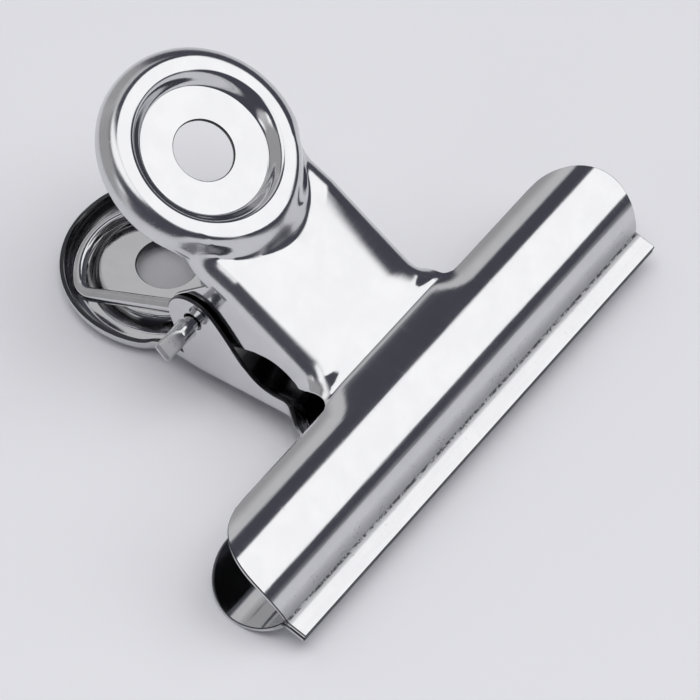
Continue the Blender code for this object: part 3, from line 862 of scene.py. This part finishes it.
def steel(name, bright, dull, rough, speck, ripple, painted_shade_depth=0.0, trim=0.0):
    """Bright plated steel: rolling marks, fine scratches, pinholes where it was worked, a slight ripple.

    The next to last argument is how dark the painted shade inside is, and the last how bright the painted
    reflection on the jaws' sheared ends is.
    """
    made = bpy.data.materials.new(name)
    b = Bench(made)
    where = b.add("ShaderNodeTexCoord", {}, {}, "Object")
    worked = b.add("ShaderNodeAttribute", {"attribute_name": "worked"}, {}, "Fac")
    cloud = b.noise(where, CLOUD_SCALE, 3.0)
    grain = b.streaks(where, GRAIN_STRETCH, 3.0)
    streak = b.streaks(where, STREAK_STRETCH, 2.0)
    scratches = sum(b.streaks(where, stretch, 1.0, turn).rise(*edge) for turn, stretch, edge in SCRATCHES)
    pinholes = pinholes_in(b, where, worked, speck)
    height = (cloud * CLOUD_RIPPLE + streak * STREAK_RIPPLE + grain * GRAIN_RIPPLE) * ripple
    height = height + b.noise(where, PEEL_SCALE) * (worked * PEEL_WORK + PEEL_PLAIN)
    bump = b.add("ShaderNodeBump", {}, {
        "Height": height - pinholes * PINHOLE_PIT, "Strength": BUMP_STRENGTH, "Distance": BUMP_DEPTH})
    colour = b.blend(cloud.rise(*CLOUD_TONES), dull, bright)
    # painted shade and dark reflections inside the clip
    colour = b.blend(painted_shade_mask(b, where) * painted_shade_depth, colour, PAINTED_SHADE_COLOUR)
    # painted bright reflection of the table on the jaws' sheared ends
    colour = b.blend(painted_end_sheen_mask(b, where) * trim, colour, PAINTED_END_SHEEN)
    colour = b.blend(pinholes, colour, PIT)
    roughness = rough + cloud * CLOUD_ROUGH + grain * GRAIN_ROUGH + scratches * SCRATCH_ROUGH
    roughness = roughness + worked * WORKED_ROUGH + pinholes * PINHOLE_ROUGH
    shader = b.add("ShaderNodeBsdfPrincipled", {}, {
        "Base Color": colour, "Metallic": 1.0, "Roughness": roughness, "Normal": bump}, "BSDF")
    b.add("ShaderNodeOutputMaterial", {}, {"Surface": shader})
    return made


def table_top():
    made = bpy.data.materials.new("table")
    b = Bench(made)
    where = b.add("ShaderNodeTexCoord", {}, {}, "Object")
    colour = b.blend(b.noise(where, TABLE_CLOUD), *TABLE_TONES)
    shader = b.add("ShaderNodeBsdfPrincipled", {}, {
        "Base Color": colour, "Roughness": 0.9, "Specular IOR Level": 0.1}, "BSDF")
    b.add("ShaderNodeOutputMaterial", {}, {"Surface": shader})
    return made


def studio(world):
    """A grey room with soft white panels and dark gaps between them.

    over is the angle from +X over the clip to -X, and height the angle above the horizon.
    """
    b = Bench(world)
    where = b.add("ShaderNodeTexCoord", {}, {}, "Generated")
    x, y, z = [b.axis(where, name) for name in "XYZ"]
    height = z.math("ARCSINE") * (1 / DEG)
    over = z.math("ARCTAN2", x) * (1 / DEG)
    far = y.rise(*FAR_SIDE)
    near = 1 - far
    near_left = near * (1 - x.rise(*NEAR_LEFT))
    near_right = near * x.rise(*NEAR_RIGHT)
    left = 1 - x.rise(*LEFT_END)
    fold_side = near_left * (1 - left)
    dim = (over.rise(*DIM_START) * far).most(left * near)
    white = (over.band(*FAR_PANEL) * far).most(
        height.band(*CEILING) * near,
        height.band(*LOW_PANEL) * fold_side)
    dark = (over.between(*FRONT_GAP) * far).most(
        over.between(*TOP_GAP) * far,
        height.band(*FOLD_GAP) * fold_side,
        height.band(*LEFT_GAP) * near_left,
        height.band(*RIGHT_GAP) * near_right,
        height.band(*BACK_GAP) * y.rise(*BEYOND))
    light = (ROOM_LIGHT - dim * DIM_DROP) * (1 - white) + white * PANEL_LIGHT
    light = light * (1 - dark) + dark * GAP_LIGHT
    blue = light + dark * GAP_BLUE + ROOM_BLUE
    colour = b.add("ShaderNodeCombineColor", {}, {"Red": light, "Green": light, "Blue": blue})
    back = b.add("ShaderNodeBackground", {}, {"Color": colour, "Strength": 1.0})
    b.add("ShaderNodeOutputWorld", {}, {"Surface": back})


# colour of the painted shade and dark reflections inside
PAINTED_SHADE_COLOUR = tone(0.03, 0.004)
# colour of the painted bright reflection on the sheared ends
PAINTED_END_SHEEN = tone(0.62, 0.01)
PIT = tone(0.08, 0.02)
TABLE_TONES = (tone(0.84, 0.03), tone(0.86, 0.03))
plating = steel("bright_plating", tone(0.69, 0.012), tone(0.66, 0.016), rough=0.05, speck=1.0, ripple=0.32)
# inner faces a little darker than the outer ones, and darkened further by painted shade and dark
# reflections
inner_plating = steel("inner_plating", tone(0.66, 0.012), tone(0.62, 0.016), rough=0.05, speck=1.0,
                      ripple=0.25, painted_shade_depth=0.95)
# cut edges painted dark, standing in for their shade and dark reflections; their sheared ends at the jaws
# carry the painted bright reflection
cut_steel = steel("cut_edge", tone(0.11, 0.008), tone(0.07, 0.008), rough=0.30, speck=0.4, ripple=0.3,
                  trim=1.0)
pin_steel = steel("pin_steel", tone(0.68, 0.012), tone(0.60, 0.012), rough=0.10, speck=0.4, ripple=0.4)
spring_wire = steel("spring_wire", tone(0.68, 0.012), tone(0.60, 0.012), rough=0.07, speck=0.4, ripple=0.3)

# The four pieces

upper_half = (NECK_WIDTH - SHEET) / 2
lower_half = upper_half + SHEET + SIDE_PLAY

upper = plate("upper_pressing", upper_half, 1)
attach(upper, "upper")
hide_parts("upper_plate")

lower = plate("lower_pressing", lower_half, -1)
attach(lower, "lower")
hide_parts("lower_plate")

wire_pin = pin(lower_half + SHEET / 2)
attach(wire_pin, "pin")
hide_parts("pivot_pin")

wire_spring = spring()
lift = STAND.to_3x3() @ Vector((0, 0, COIL_RADIUS))
tuple(PIVOT - lift)
tuple(PIVOT + lift)
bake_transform(wire_spring)
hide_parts("torsion_spring")

# Table, light and camera
bpy.ops.object.select_all(action="DESELECT")
bpy.ops.mesh.primitive_plane_add(size=TABLE_SIZE, location=(0, 0, 0))
table = bpy.context.object
table.name = "table"
table.data.materials.append(table_top())

scene = bpy.context.scene
scene.world = bpy.data.worlds.new("studio")
studio(scene.world)

bpy.ops.object.light_add(type="AREA", location=KEY_PLACE)
key = bpy.context.object
key.data.shape = "DISK"
key.data.size = KEY_WIDTH
key.data.energy = KEY_POWER
key.rotation_euler = (-key.location).to_track_quat("-Z", "Y").to_euler()
key.visible_glossy = False

bpy.ops.object.camera_add(location=CAMERA_PLACE, rotation=CAMERA_TURN)
camera = bpy.context.object
camera.data.lens = CAMERA_LENS
camera.data.sensor_width = CAMERA_SENSOR
camera.data.clip_start, camera.data.clip_end = CAMERA_CLIP
scene.camera = camera
scene.view_settings.view_transform = "Standard"
